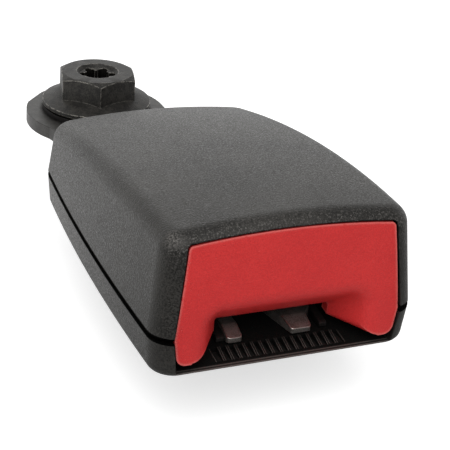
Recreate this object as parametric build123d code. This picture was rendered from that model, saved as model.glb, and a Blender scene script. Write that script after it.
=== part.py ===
from build123d import *
from math import atan2, cos, pi, radians, sin, sqrt, tan
import os

# Seat belt buckle with end release, on a steel anchor strap with its anchor bolt.
# Millimetres. +Z is up, the belt tongue goes in along +Y, +X is to the right.
# The pieces are drawn with Y = 0 at the mouth, X = 0 on the middle of the buckle and
# Z = 0 at the underside of the lower cover. export_part moves them to the part's frame,
# whose origin is on the anchor bolt's axis, at the face that seats on the car.

# --- Belt tongue and the path it takes -------------------------------------------
TONGUE_HALF_WIDTH = 11.3
TONGUE_SIDE_CLEAR = 0.4
TONGUE_PATH_HEIGHT = 2.8

# --- Covers --------------------------------------------------------------------
FRONT_Y = -1.6                 # front edge of the covers at the seam
REAR_Y = 77.6                  # rear edge of the covers at the seam
HALF_WIDTH_FRONT = 26.2        # half widths of the barrel-shaped plan at the seam
HALF_WIDTH_MID = 26.7
HALF_WIDTH_REAR = 24.0
WIDEST_Y = 22.0
PLAN_CORNER_R = 5.0
SEAM_Z = 8.0
SEAM_GAP = 0.85
WALL = 2.0
DRAFT_UPPER = 6.0              # degrees
DRAFT_LOWER = 4.0
ROOF_TOP_Z = 29.1
ROOF_PEAK_Y = 10.0
ROOF_LENGTH_R = 258.0          # crown of the roof along the buckle
ROOF_CROSS_R = 165.0           # crown of the roof across it
ROOF_EDGE_R = 4.2
BELLY_EDGE_R = 2.0
FLOOR = 2.0
LIP_CLEAR = 0.1                # lower cover's lip inside the upper cover's wall
LIP_THICK = 0.8
LIP_DEPTH = 2.7
LIP_RISE = 1.4

# --- Mouth of the covers -----------------------------------------------------------
MOUTH_HALF_TOP = 20.6
MOUTH_HALF_SEAM = 22.8
MOUTH_HALF_BOTTOM = 21.85
MOUTH_CORNER_Z = 25.9
MOUTH_CROWN = 1.2
MOUTH_BOTTOM_Z = 0.9
MOUTH_CORNER_R = 1.0
MOUTH_DEPTH = 9.0

# --- Comb of ribs on the ramp inside the mouth ------------------------------------
RAMP_END_Y = 8.4
GROOVE_Z = 0.5                 # bottom of the grooves between the ribs
RIB_COUNT = 15
RIB_PITCH = 1.64
RIB_THICK = 0.55
RIB_TIP_Y = 1.2
RIB_SLOPE = 16.6               # degrees
RIB_END_Y = 4.6

# --- Cover screws -------------------------------------------------------------------
FRONT_SCREW_Y = 18.0
REAR_SCREW_X = 19.2
REAR_SCREW_Y = 70.4
SCREW_THREAD_R = 1.1
SCREW_HEAD_R = 1.95
SCREW_HEAD_H = 1.2
SCREW_LENGTH = 11.5
SCREW_CLEAR = 0.1
SCREW_SINK = 1.6               # depth of the head's recess in the lower cover
BOSS_R = 2.15

# --- Steel frame ----------------------------------------------------------------------
PLATE = 2.2
FRAME_HALF_OUT = 16.2
FRAME_BEND_R = 2.6
CHEEK_FRONT_Y = 20.0
CHEEK_REAR_Y = 52.0
CHEEK_TOP_Z = 19.0
CHEEK_NOSE_Z = 12.5
FRAME_NOSE_HALF = 9.6          # half width of the plate between the guide's runners
FRAME_REAR_Y = 71.0
PRONG_TIP_Y = 4.9
PRONG_BEND_Y = 8.2
PRONG_DROP = 1.2
NOTCH_REAR_Y = 16.0
LEFT_PRONG_INNER_X = -6.5
RIGHT_PRONG_OUTER_X = 7.8
RIGHT_PRONG_INNER_X = 3.6
RIGHT_PRONG_ROOT_X = 1.2
SPRING_TAB_Y = 56.0
SPRING_TAB_HALF = 4.0
SPRING_TAB_RISE = 5.6

# --- Latch ----------------------------------------------------------------------------
PIVOT_Y = 46.0
PIVOT_Z = 12.0
PIVOT_R = 2.0
LATCH_THICK = 2.5
LATCH_HALF = 11.0
LATCH_EAR_R = 4.0
LATCH_TAIL_Y = 53.4
LATCH_NECK_Y = 27.0
LATCH_DROP = 11.0              # degrees from raised to locked
HUB_WALL = 1.0                 # round the pivot, between the ears
TOOTH_HALF = 4.0
TOOTH_Y = 20.6
TOOTH_THICK = 3.2
TOOTH_OVER_PATH = 0.3
RUN_CLEAR = 0.05               # running clearance of pins in their bores
SIDE_CLEAR = 0.3               # side clearance of flat moving pieces

# --- Lock pin -------------------------------------------------------------------------
LOCK_R = 2.0
LOCK_Z = 15.6
LOCK_REST_Y = 36.0
LOCK_TRAVEL = 6.0
LOCK_SLOT_CLEAR = 0.1
LOCK_RAMP_CLEAR = 0.3

# --- Release button ------------------------------------------------------------------
BUTTON_GAP = 0.3
BUTTON_TRAVEL = 4.0
BUTTON_RECESS = 0.45           # face behind the rim of the covers
BUTTON_REAR_Y = 9.0
BUTTON_WALL = 2.2
LEG_TIP_Z = 2.5
LEG_OUTER_R = 2.0              # rounding of the legs' tips, seen from the front
LEG_INNER_R = 2.8
LEG_SLOPE = 10.8               # degrees, underside of the legs
ARCH_TOP_Z = 6.7
ARCH_DEPTH_Y = 6.8
ARCH_CORNER_R = 0.6
SCOOP_HALF = 16.8
SCOOP_TOP_Z = 13.4
SCOOP_CORNER_R = 4.2
SCOOP_ROLL_R = 4.0
ARM_CLEAR = 0.4                # between the arms and the frame, and the arms and the bosses
ARM_THICK = 2.8
ARM_BOTTOM_Z = 9.4
ARM_TOP_Z = 18.8
ARM_REAR_Y = 44.0

# --- Ejector ---------------------------------------------------------------------------
EJECTOR_NOSE_Y = 20.4
EJECTOR_BODY_Y = 31.0
EJECTOR_REAR_Y = 36.0
EJECTOR_TRAVEL = 9.0
EJECTOR_FORK_OUT = 9.0
EJECTOR_FLOAT = 0.1
EJECTOR_KEY_HALF = 1.5
EJECTOR_TOWER_HALF = 2.9
TOWER_CLEAR = 0.6              # between the tower and the latch's hub

# --- Springs ---------------------------------------------------------------------------
BUTTON_SPRING = dict(coil_r=1.55, wire_r=0.25, turns=9)
EJECTOR_SPRING = dict(coil_r=2.1, wire_r=0.3, turns=9)
LATCH_SPRING = dict(coil_r=1.7, wire_r=0.25, turns=5)
BUTTON_SPRING_Z = 12.2
SPRING_POST_Y = 60.0
SPRING_POST_LENGTH = 3.6
LATCH_SPRING_X = 7.0
LATCH_SPRING_Y = 51.2
SPRING_SEAT_GAP = 0.05
COIL_STEPS = 10                # straight lengths in one turn of a spring
WIRE_SIDES = 6

# --- Tongue guide ------------------------------------------------------------------------
RUNNER_IN_X = 9.9
RUNNER_OUT_X = 11.4
RUNNER_FRONT_Y = 5.9
PORTAL_FRONT_Y = 13.6
PORTAL_REAR_Y = 19.8
PORTAL_CLEAR = 0.1             # between the portal and the frame's cheeks
PORTAL_BRIDGE = 1.9

# --- Anchor strap and its fastening -------------------------------------------------------
ANCHOR_X = -3.2
ANCHOR_Y = 105.0
STRAP_THICK = 3.0
STRAP_EYE_R = 17.0
STRAP_NECK_TURN = 32.0         # degrees round the eye to where the neck's left edge starts
STRAP_FLAT_TURN = 139.0        # degrees round the eye to its short flat
STRAP_FLAT_OFF = 16.6          # distance of the flat from the eye's centre
STRAP_FRONT_Y = 58.6
STRAP_HALF = 13.5
STRAP_CRANK_Y = 70.0
STRAP_CRANK_RUN = 4.0
STRAP_CRANK_RISE = 2.0
STRAP_SLOT_CLEAR = 0.3
RIVET_X = 7.5
RIVET_Y = 65.4
RIVET_R = 3.0
RIVET_HEAD_R = 4.6
RIVET_HEAD_H = 1.8
BUSH_R = 7.8
BUSH_CLEAR = 0.08
BUSH_FLANGE_R = 12.9
BUSH_FLANGE_H = 1.3
WAVE_R = 12.7
WAVE_THICK = 0.4
WAVE_RISE = 0.2
SHANK_R = 5.556                # 7/16 inch anchor bolt
SHOULDER_R = 6.2               # plain part of the bolt inside the bush
SHANK_LENGTH = 19.0            # below the seat
SHANK_CHAMFER = 1.0
FLANGE_R = 13.15
FLANGE_RIM = 0.9
FLANGE_RISE = 1.8
HEX_FLATS = 17.4
HEX_RISE = 7.1
HEX_TURN = -12.7               # degrees
HEX_CROWN_R = 9.6
DRIVE_R = 4.4
DRIVE_LOBE_R = 1.2
DRIVE_CORE_R = 3.1
DRIVE_LOBES = 6
DRIVE_DEPTH = 4.2
DRIVE_SINK_R = 5.1             # countersink round the socket
DRIVE_SINK_DEPTH = 0.9
KEEPER_R = 9.0
KEEPER_H = 1.2

# --- Values worked out from those above --------------------------------------------------
BASE_TOP_Z = FLOOR + PLATE
PATH_TOP_Z = BASE_TOP_Z + TONGUE_PATH_HEIGHT
SLOT_HALF = TONGUE_HALF_WIDTH + TONGUE_SIDE_CLEAR
FRAME_HALF_IN = FRAME_HALF_OUT - PLATE
FRAME_TAIL_HALF = FRAME_HALF_IN
PORTAL_HALF = FRAME_HALF_IN - PORTAL_CLEAR
STRAP_TOP_IN_Z = BASE_TOP_Z + STRAP_THICK
STRAP_BOTTOM_Z = BASE_TOP_Z + STRAP_CRANK_RISE
STRAP_TOP_Z = STRAP_BOTTOM_Z + STRAP_THICK
BUSH_TOP_Z = STRAP_TOP_Z + BUSH_FLANGE_H
SEAT_Z = STRAP_BOTTOM_Z - KEEPER_H
FLANGE_Z = BUSH_TOP_Z + WAVE_THICK + WAVE_RISE
ARM_INNER_X = FRAME_HALF_OUT + ARM_CLEAR
ARM_MID_X = ARM_INNER_X + ARM_THICK / 2
FRONT_SCREW_X = ARM_INNER_X + ARM_THICK + ARM_CLEAR + BOSS_R
SCREW_PLACES = [(FRONT_SCREW_X, FRONT_SCREW_Y), (REAR_SCREW_X, REAR_SCREW_Y)]
SPRING_Z = BASE_TOP_Z + EJECTOR_SPRING["coil_r"] + EJECTOR_SPRING["wire_r"] + 0.3
FRONT_TOP = 40.0               # above everything, for cutting tools
HEX_CORNER_R = HEX_FLATS / sqrt(3)


def box(x0, x1, y0, y1, z0, z1):
    """Block between the given limits."""
    size = (x1 - x0, y1 - y0, z1 - z0)
    return Pos((x0 + x1) / 2, (y0 + y1) / 2, (z0 + z1) / 2) * Box(*size)


def rod(radius, x, y, z0, z1):
    """Upright cylinder."""
    return Pos(x, y, (z0 + z1) / 2) * Cylinder(radius, z1 - z0)


def cross_rod(radius, y, z, half_length):
    """Cylinder lying across the buckle."""
    return Pos(0, y, z) * Rot(0, 90, 0) * Cylinder(radius, 2 * half_length)


def across(points, x0, x1):
    """Prism between x0 and x1 of an outline given as (y, z) points."""
    plane = Plane(origin=(x0, 0, 0), x_dir=(0, 1, 0), z_dir=(1, 0, 0))
    return extrude(plane * make_face(Polyline(*points, close=True)), x1 - x0)


def upright(points, z0, z1):
    """Prism between z0 and z1 of an outline given as (x, y) points."""
    return extrude(Pos(0, 0, z0) * make_face(Polyline(*points, close=True)), z1 - z0)


def both_sides(shape):
    """The shape and its mirror image in the middle plane."""
    return shape + mirror(shape, Plane.YZ)


# --- Covers ---------------------------------------------------------------------------

def plan_face(inset, z):
    """Barrel-shaped plan of the covers, moved inwards by inset, at height z."""
    front, rear = FRONT_Y + inset, REAR_Y - inset
    half_f = HALF_WIDTH_FRONT - inset
    half_m = HALF_WIDTH_MID - inset
    half_r = HALF_WIDTH_REAR - inset
    outline = [
        Line((-half_f, front), (half_f, front)),
        ThreePointArc((half_f, front), (half_m, WIDEST_Y), (half_r, rear)),
        Line((half_r, rear), (-half_r, rear)),
        ThreePointArc((-half_r, rear), (-half_m, WIDEST_Y), (-half_f, front)),
    ]
    face = make_face(outline)
    return Pos(0, 0, z) * fillet(face.vertices(), PLAN_CORNER_R)


def roof_body(inset):
    """Everything below the doubly crowned roof surface, moved down by inset."""
    top = ROOF_TOP_Z - inset
    half = HALF_WIDTH_MID + 4
    cross_r = ROOF_CROSS_R - inset
    edge = top - (cross_r - sqrt(cross_r**2 - half**2))
    bottom = -5.0
    plane = Plane(origin=(0, ROOF_PEAK_Y, 0), x_dir=(1, 0, 0), z_dir=(0, -1, 0))
    outline = [
        ThreePointArc((-half, edge), (0, top), (half, edge)),
        Line((half, edge), (half, bottom)),
        Line((half, bottom), (-half, bottom)),
        Line((-half, bottom), (-half, edge)),
    ]
    hinge = Axis((0, ROOF_PEAK_Y, ROOF_TOP_Z - ROOF_LENGTH_R), (1, 0, 0))
    ahead, behind = 6.0, 18.0      # degrees
    profile = (plane * make_face(outline)).rotate(hinge, ahead)
    return revolve(profile, hinge, -(ahead + behind))


def upper_block(inset, bottom):
    """Outside of the upper cover, or its inside with inset equal to the wall."""
    def at(z):
        return plan_face(inset + (z - SEAM_Z) * tan(radians(DRAFT_UPPER)), z)
    walls = loft([at(bottom), at(ROOF_TOP_Z + 2)], ruled=True)
    block = walls & roof_body(inset)
    rim = [e for e in block.edges() if e.center().Z > (SEAM_Z + ROOF_TOP_Z) / 2 - 2]
    rim = [e for e in rim if e.bounding_box().size.Z < (ROOF_TOP_Z - SEAM_Z) / 2]
    return fillet(rim, ROOF_EDGE_R - inset * 0.8)


def lower_block(inset, bottom, top):
    """Outside or inside of the lower cover between two heights."""
    def at(z):
        return plan_face(inset + (SEAM_Z - z) * tan(radians(DRAFT_LOWER)), z)
    return loft([at(bottom), at(top)], ruled=True)


def mouth_face(inset, y):
    """Outline of the mouth seen from the front, at depth y."""
    bottom = -5.0
    half_b = MOUTH_HALF_BOTTOM - inset
    half_s = MOUTH_HALF_SEAM - inset
    half_t = MOUTH_HALF_TOP - inset
    corner = MOUTH_CORNER_Z - inset
    outline = [
        Line((-half_b, bottom), (half_b, bottom)),
        Line((half_b, bottom), (half_b, MOUTH_BOTTOM_Z)),
        Line((half_b, MOUTH_BOTTOM_Z), (half_s, SEAM_Z)),
        Line((half_s, SEAM_Z), (half_t, corner)),
        ThreePointArc((half_t, corner), (0, corner + MOUTH_CROWN), (-half_t, corner)),
        Line((-half_t, corner), (-half_s, SEAM_Z)),
        Line((-half_s, SEAM_Z), (-half_b, MOUTH_BOTTOM_Z)),
        Line((-half_b, MOUTH_BOTTOM_Z), (-half_b, bottom)),
    ]
    face = make_face(outline)
    face = fillet([v for v in face.vertices() if v.Y > corner - 1], MOUTH_CORNER_R)
    plane = Plane(origin=(0, y, 0), x_dir=(1, 0, 0), z_dir=(0, -1, 0))
    return plane * face


def mouth_prism(inset, y0, y1):
    """The mouth's outline carried from depth y0 to y1."""
    return extrude(mouth_face(inset, y0), -(y1 - y0))


def strap_slot():
    """Slot for the strap through the covers' rear wall."""
    c = STRAP_SLOT_CLEAR
    z0, z1 = STRAP_BOTTOM_Z - c, STRAP_TOP_Z + c
    return box(-STRAP_HALF - c, STRAP_HALF + c, STRAP_CRANK_Y, REAR_Y + 3, z0, z1)


def screw_points():
    """Every cover screw's place, as (x, y)."""
    return [(side * x, y) for x, y in SCREW_PLACES for side in (-1, 1)]


def upper_cover():
    bottom = SEAM_Z + SEAM_GAP / 2
    outer = upper_block(0, bottom)
    shell = outer - upper_block(WALL, bottom - 2)
    for x, y in screw_points():
        boss = rod(BOSS_R, x, y, bottom, ROOF_TOP_Z) & outer
        shell += boss
        shell -= rod(SCREW_THREAD_R, x, y, bottom - 1, SCREW_SINK + SCREW_LENGTH + 0.5)
    shell -= mouth_prism(0, FRONT_Y - 3, MOUTH_DEPTH)
    return shell - strap_slot()


def lower_cover():
    top = SEAM_Z - SEAM_GAP / 2
    outer = lower_block(0, 0, top)
    belly = [e for e in outer.edges() if e.center().Z < 0.1]
    outer = fillet(belly, BELLY_EDGE_R)
    shell = outer - lower_block(WALL, FLOOR, top + 1)
    shell += inner_lip(top)
    shell += spring_posts()
    for x, y in screw_points():
        shell += rod(BOSS_R, x, y, FLOOR / 2, SEAM_Z + SEAM_GAP / 2)
        shell -= rod(SCREW_THREAD_R + SCREW_CLEAR, x, y, -1, SEAM_Z + 1)
        shell -= rod(SCREW_HEAD_R + 0.2, x, y, -1, SCREW_SINK)
    mouth = mouth_prism(0, FRONT_Y - WALL, MOUTH_DEPTH)
    above_floor = box(-HALF_WIDTH_MID, HALF_WIDTH_MID, FRONT_Y - WALL, MOUTH_DEPTH,
                      MOUTH_BOTTOM_Z, FRONT_TOP)
    shell -= mouth & above_floor
    shell = shell + mouth_ramp() - comb_bed() + comb()
    return shell - strap_slot()


def inner_lip(top):
    """Lip that stands inside the upper cover's wall all the way round."""
    inside = WALL + LIP_CLEAR + LIP_THICK
    ledge = lower_block(WALL - 0.2, top - LIP_DEPTH, top)
    ledge -= lower_block(inside, top - LIP_DEPTH - 1, top + 1)
    ring = extrude(plan_face(inside - LIP_THICK + 0.15, top), LIP_RISE)
    ring -= extrude(plan_face(inside, top - 1), LIP_RISE + 2)
    for x, y in screw_points():
        ring -= rod(BOSS_R + LIP_CLEAR, x, y, top, FRONT_TOP)
    return ledge + ring


def spring_posts():
    """Posts that the button's two return springs push against."""
    half = ARM_THICK / 2 + 0.6
    wide = box(ARM_MID_X - half, ARM_MID_X + half, SPRING_POST_Y,
               SPRING_POST_Y + SPRING_POST_LENGTH, FLOOR / 2, BUTTON_SPRING_Z + 2.4)
    toe = across([(SPRING_POST_Y + SPRING_POST_LENGTH, FLOOR / 2),
                  (SPRING_POST_Y + SPRING_POST_LENGTH + 2.6, FLOOR / 2),
                  (SPRING_POST_Y + SPRING_POST_LENGTH, BUTTON_SPRING_Z)],
                 ARM_MID_X - 0.6, ARM_MID_X + 0.6)
    peg = Pos(ARM_MID_X, SPRING_POST_Y - 1.4, BUTTON_SPRING_Z) * Rot(90, 0, 0)
    peg = peg * Cylinder(0.9, 3.0)
    return both_sides(wide + toe + peg)


def rib_height(y):
    """Height of the ribs' tops at depth y."""
    return MOUTH_BOTTOM_Z + (y - RIB_TIP_Y) * tan(radians(RIB_SLOPE))


def mouth_ramp():
    """Sloping floor of the mouth that leads the tongue up to the frame."""
    half = HALF_WIDTH_MID
    low = GROOVE_Z - 0.1
    ramp = across([(RIB_TIP_Y - 0.3, low), (RIB_TIP_Y - 0.3, MOUTH_BOTTOM_Z),
                   (RAMP_END_Y, FLOOR - 0.1), (RAMP_END_Y + 1.6, FLOOR - 0.1),
                   (RAMP_END_Y + 1.6, low)], -half, half)
    return ramp & lower_block(WALL / 2, 0, SEAM_Z)


def comb_bed():
    """Sunken bed that the comb of ribs stands in."""
    half = (RIB_COUNT + 1) / 2 * RIB_PITCH
    return box(-half, half, RIB_TIP_Y, RIB_END_Y + 0.3, GROOVE_Z, MOUTH_BOTTOM_Z + 3)


def comb():
    """Row of ribs in the mouth, rising to the rear."""
    low = GROOVE_Z - 0.1
    outline = [(RIB_TIP_Y - 0.3, low), (RIB_TIP_Y, rib_height(RIB_TIP_Y)),
               (RIB_END_Y, rib_height(RIB_END_Y)), (RIB_END_Y, low)]
    middle = (RIB_COUNT - 1) / 2
    places = [(i - middle) * RIB_PITCH for i in range(RIB_COUNT)]
    return [across(outline, x - RIB_THICK / 2, x + RIB_THICK / 2) for x in places]


def cover_screws():
    """Four self-tapping screws, heads in the lower cover's recesses."""
    screw = rod(SCREW_THREAD_R, 0, 0, SCREW_SINK, SCREW_SINK + SCREW_LENGTH)
    head = rod(SCREW_HEAD_R, 0, 0, SCREW_SINK - SCREW_HEAD_H, SCREW_SINK)
    head = chamfer(head.edges().sort_by(Axis.Z)[0], 0.4)
    drive = box(-1.2, 1.2, -0.25, 0.25, 0, SCREW_SINK - SCREW_HEAD_H + 0.6)
    drive += box(-0.25, 0.25, -1.2, 1.2, 0, SCREW_SINK - SCREW_HEAD_H + 0.6)
    screw = screw + head - drive
    return [Pos(x, y, 0) * screw for x, y in screw_points()]


# --- Release button ---------------------------------------------------------------------

def button_profile():
    """Side profile of the button's head: bowed face, sloping underside."""
    drop = tan(radians(DRAFT_UPPER))
    face_y = FRONT_Y + BUTTON_RECESS
    top_y = face_y + (MOUTH_CORNER_Z + 3 - SEAM_Z) * drop
    rise = tan(radians(LEG_SLOPE))
    low_rear = LEG_TIP_Z + (BUTTON_REAR_Y - face_y) * rise
    top_z = MOUTH_CORNER_Z + 3
    outline = [
        ThreePointArc((top_y, top_z), (face_y + 0.55, SEAM_Z + 4), (face_y + 0.35, LEG_TIP_Z)),
        Line((face_y + 0.35, LEG_TIP_Z), (BUTTON_REAR_Y, low_rear)),
        Line((BUTTON_REAR_Y, low_rear), (BUTTON_REAR_Y, top_z)),
        Line((BUTTON_REAR_Y, top_z), (top_y, top_z)),
    ]
    plane = Plane(origin=(-30, 0, 0), x_dir=(0, 1, 0), z_dir=(1, 0, 0))
    return extrude(plane * make_face(outline), 60)


def arch_face(half, top, corner, y):
    """Arched outline, open below, at depth y."""
    bottom = -6.0
    face = make_face(Polyline((-half, bottom), (half, bottom), (half, top), (-half, top),
                              close=True))
    face = fillet([v for v in face.vertices() if v.Y > 0], corner)
    plane = Plane(origin=(0, y, 0), x_dir=(1, 0, 0), z_dir=(0, -1, 0))
    return plane * face


def leg_gap_face(half, foot, r, y):
    """Outline at depth y of the space between the legs, flared by r round their tips."""
    bottom = -6.0
    bend = (half + r * (1 - cos(pi / 4)), foot + r * (1 - sin(pi / 4)))
    outline = [
        Line((-half - r, bottom), (half + r, bottom)),
        Line((half + r, bottom), (half + r, foot)),
        ThreePointArc((half + r, foot), bend, (half, foot + r)),
        Line((half, foot + r), (-half, foot + r)),
        ThreePointArc((-half, foot + r), (-bend[0], bend[1]), (-half - r, foot)),
        Line((-half - r, foot), (-half - r, bottom)),
    ]
    plane = Plane(origin=(0, y, 0), x_dir=(1, 0, 0), z_dir=(0, -1, 0))
    return plane * make_face(outline)


def release_button():
    head = mouth_prism(BUTTON_GAP, FRONT_Y - 3, BUTTON_REAR_Y) & button_profile()
    low = (LEG_TIP_Z + SEAM_Z) / 2
    run = BUTTON_REAR_Y / 2
    tips = [e for e in head.edges() if e.center().Z < low and e.bounding_box().size.Y > run]
    head = fillet(tips, LEG_OUTER_R)
    front = FRONT_Y - 1.0
    rear_foot = LEG_TIP_Z + ARCH_DEPTH_Y * tan(radians(LEG_SLOPE))
    grow = (ARCH_DEPTH_Y - front) / (ARCH_DEPTH_Y - FRONT_Y - BUTTON_RECESS)
    half = SLOT_HALF + (SCOOP_HALF - SLOT_HALF) * grow
    top = ARCH_TOP_Z + (SCOOP_TOP_Z - ARCH_TOP_Z) * grow
    scoop = loft([arch_face(half, top, SCOOP_CORNER_R, front),
                  arch_face(SLOT_HALF, ARCH_TOP_Z, ARCH_CORNER_R, ARCH_DEPTH_Y)], ruled=True)
    head -= scoop
    roll = [e for e in head.edges() if scoop_edge(e)]
    head = fillet(roll, SCOOP_ROLL_R)
    head -= extrude(arch_face(SLOT_HALF, ARCH_TOP_Z, ARCH_CORNER_R, ARCH_DEPTH_Y - 0.5), -10)
    head -= loft([leg_gap_face(half, LEG_TIP_Z, LEG_INNER_R, front),
                  leg_gap_face(SLOT_HALF, rear_foot, ARCH_CORNER_R, ARCH_DEPTH_Y)], ruled=True)
    pocket_top = MOUTH_CORNER_Z - BUTTON_GAP - BUTTON_WALL
    pocket_half = MOUTH_HALF_TOP - BUTTON_GAP - 2 * BUTTON_WALL
    pocket = box(-pocket_half, pocket_half, BUTTON_WALL + 1.2, BUTTON_REAR_Y + 1,
                 SCOOP_TOP_Z + BUTTON_WALL, pocket_top)
    rib = box(-0.8, 0.8, BUTTON_WALL + 1, BUTTON_REAR_Y, SCOOP_TOP_Z, pocket_top + 1)
    head = head - pocket + rib
    return head + both_sides(button_arm())


def scoop_edge(edge):
    """True for the edges between the button's face and the scoop round the arch."""
    c = edge.center()
    size = edge.bounding_box().size
    near_face = c.Y < FRONT_Y + BUTTON_RECESS + 2.2
    inside = abs(c.X) < SCOOP_HALF + 1.5 and LEG_TIP_Z + 1 < c.Z < SCOOP_TOP_Z + 2
    return near_face and inside and size.Y < 3


def button_arm():
    """Right arm: runs back outside the frame's cheek and carries the lock pin."""
    x0, x1 = ARM_INNER_X, ARM_INNER_X + ARM_THICK
    arm = across([(BUTTON_REAR_Y - 2, ARM_BOTTOM_Z - 2.5), (BUTTON_REAR_Y + 4, ARM_BOTTOM_Z),
                  (ARM_REAR_Y, ARM_BOTTOM_Z), (ARM_REAR_Y, ARM_TOP_Z - 1.5),
                  (ARM_REAR_Y - 1.5, ARM_TOP_Z), (BUTTON_REAR_Y + 4, ARM_TOP_Z),
                  (BUTTON_REAR_Y - 2, ARM_TOP_Z + 2.5)], x0, x1)
    arm -= lock_slot(x0 - 1, x1 + 1, LOCK_REST_Y - LOCK_TRAVEL, LOCK_REST_Y)
    peg = Pos(ARM_MID_X, ARM_REAR_Y + 1.4, BUTTON_SPRING_Z) * Rot(90, 0, 0)
    return arm + peg * Cylinder(0.9, 3.0)


def lock_slot(x0, x1, y0, y1):
    """Round-ended slot in which the lock pin travels from y0 to y1."""
    r = LOCK_R + LOCK_SLOT_CLEAR
    ends = [Pos((x0 + x1) / 2, y, LOCK_Z) * Rot(0, 90, 0) * Cylinder(r, x1 - x0)
            for y in (y0, y1)]
    return box(x0, x1, y0, y1, LOCK_Z - r, LOCK_Z + r) + ends


# --- Steel frame, latch and lock --------------------------------------------------------

def buckle_frame():
    """Bent steel channel with two lead-in prongs at the mouth."""
    channel = box(-FRAME_HALF_OUT, FRAME_HALF_OUT, CHEEK_FRONT_Y, CHEEK_REAR_Y,
                  FLOOR, CHEEK_TOP_Z)
    low = [e for e in channel.edges().filter_by(Axis.Y) if e.center().Z < FLOOR + 0.1]
    channel = fillet(low, FRAME_BEND_R)
    inside = box(-FRAME_HALF_IN, FRAME_HALF_IN, CHEEK_FRONT_Y - 1, CHEEK_REAR_Y + 1,
                 BASE_TOP_Z, CHEEK_TOP_Z + 1)
    low = [e for e in inside.edges().filter_by(Axis.Y) if e.center().Z < BASE_TOP_Z + 0.1]
    channel -= fillet(low, FRAME_BEND_R - PLATE)
    channel &= across([(CHEEK_FRONT_Y, FLOOR), (CHEEK_REAR_Y, FLOOR),
                       (CHEEK_REAR_Y, PIVOT_Z + 3), (CHEEK_REAR_Y - 3, CHEEK_TOP_Z),
                       (CHEEK_FRONT_Y + 5, CHEEK_TOP_Z), (CHEEK_FRONT_Y, CHEEK_NOSE_Z)],
                      -FRAME_HALF_OUT, FRAME_HALF_OUT)
    frame = channel + frame_nose() + frame_tail()
    slot_end = LOCK_REST_Y + BUTTON_TRAVEL
    frame -= lock_slot(-30, 30, LOCK_REST_Y - LOCK_TRAVEL, slot_end)
    frame -= cross_rod(PIVOT_R, PIVOT_Y, PIVOT_Z, 30)
    tooth_room = EJECTOR_FLOAT + 0.6
    frame -= box(-TOOTH_HALF - 0.7, TOOTH_HALF + 0.7, TOOTH_Y - 0.3,
                 TOOTH_Y + TOOTH_THICK + 2.6, FLOOR - 1, BASE_TOP_Z + 1)
    frame -= box(-EJECTOR_KEY_HALF - 0.2, EJECTOR_KEY_HALF + 0.2, EJECTOR_BODY_Y + tooth_room,
                 EJECTOR_REAR_Y + EJECTOR_TRAVEL + 0.3, FLOOR - 1, BASE_TOP_Z + 1)
    return frame


def frame_nose():
    """Flat front of the frame, split into two prongs with bent-down tips."""
    tip_top = BASE_TOP_Z - PRONG_DROP
    side = across([(PRONG_TIP_Y, FLOOR), (PRONG_TIP_Y, tip_top), (PRONG_BEND_Y, BASE_TOP_Z),
                   (CHEEK_FRONT_Y + 2, BASE_TOP_Z), (CHEEK_FRONT_Y + 2, FLOOR)],
                  -FRAME_NOSE_HALF, FRAME_NOSE_HALF)
    notch = upright([(LEFT_PRONG_INNER_X, 0), (LEFT_PRONG_INNER_X, NOTCH_REAR_Y),
                     (RIGHT_PRONG_ROOT_X, NOTCH_REAR_Y), (RIGHT_PRONG_INNER_X, PRONG_TIP_Y),
                     (RIGHT_PRONG_INNER_X, 0)], FLOOR - 1, BASE_TOP_Z + 1)
    spare = upright([(RIGHT_PRONG_OUTER_X, 0), (RIGHT_PRONG_OUTER_X, PRONG_BEND_Y),
                     (FRAME_NOSE_HALF, PRONG_BEND_Y + 2), (FRAME_NOSE_HALF + 1, 0)],
                    FLOOR - 1, BASE_TOP_Z + 1)
    nose = side - notch - spare
    tips = [e for e in nose.edges().filter_by(Axis.Z) if e.center().Y < PRONG_TIP_Y + 0.1]
    return fillet(tips, 0.7)


def frame_tail():
    """Flat rear of the frame, with the raised tab that the ejector spring sits on."""
    tail = upright([(-FRAME_HALF_OUT, CHEEK_REAR_Y - 2), (FRAME_HALF_OUT, CHEEK_REAR_Y - 2),
                    (FRAME_HALF_OUT, CHEEK_REAR_Y), (FRAME_TAIL_HALF, CHEEK_REAR_Y + 4),
                    (FRAME_TAIL_HALF, FRAME_REAR_Y), (-FRAME_TAIL_HALF, FRAME_REAR_Y),
                    (-FRAME_TAIL_HALF, CHEEK_REAR_Y + 4), (-FRAME_HALF_OUT, CHEEK_REAR_Y)],
                   FLOOR, BASE_TOP_Z)
    half = SPRING_TAB_HALF
    lance = box(-half, half, SPRING_TAB_Y - SPRING_TAB_RISE, SPRING_TAB_Y,
                FLOOR - 1, BASE_TOP_Z + 1)
    tab = box(-half, half, SPRING_TAB_Y, SPRING_TAB_Y + PLATE, FLOOR,
              BASE_TOP_Z + SPRING_TAB_RISE)
    peg = Pos(0, SPRING_TAB_Y - 1.2, SPRING_Z) * Rot(90, 0, 0) * Cylinder(1.2, 3.0)
    tail = tail - lance + tab + peg
    for x in (-RIVET_X, RIVET_X):
        tail -= rod(RIVET_R, x, RIVET_Y, FLOOR - 1, BASE_TOP_Z + 1)
    return tail


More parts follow.
